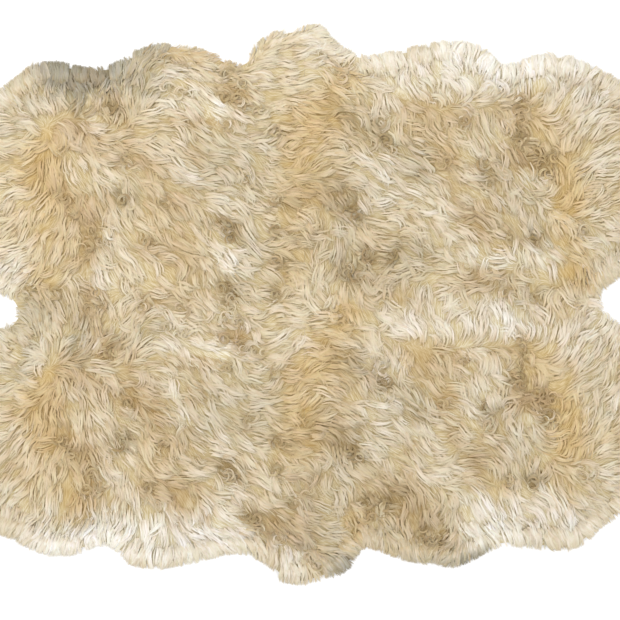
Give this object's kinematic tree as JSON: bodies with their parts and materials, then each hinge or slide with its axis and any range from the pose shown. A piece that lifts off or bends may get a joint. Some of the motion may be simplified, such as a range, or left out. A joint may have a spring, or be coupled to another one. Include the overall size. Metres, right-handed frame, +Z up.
{
  "type": "sheepskin rug",
  "caption": "Large natural sheepskin rug: pelts sewn end to end and side by side, with lobed sides, round ends and long wavy cream to honey wool over a tanned skin back.",
  "frame": {"origin": "on the floor under the middle of the rug, close to where its two seams cross", "axes": "+X along the rug, +Y towards the back pair of pelts, +Z up out of the wool"},
  "size_m": [1.8256, 1.395, 0.0522],
  "materials": {
    "wool": "long natural wool, matt with a soft sheen along its strands",
    "hide": "tanned skin, brushed and matt"
  },
  "bodies": {
    "root": {"hide_back_left": "hide", "hide_back_right": "hide", "hide_front_left": "hide", "hide_front_right": "hide", "fleece_back_left": "wool", "fleece_back_right": "wool", "fleece_front_left": "wool", "fleece_front_right": "wool"}
  },
  "joints": []
}
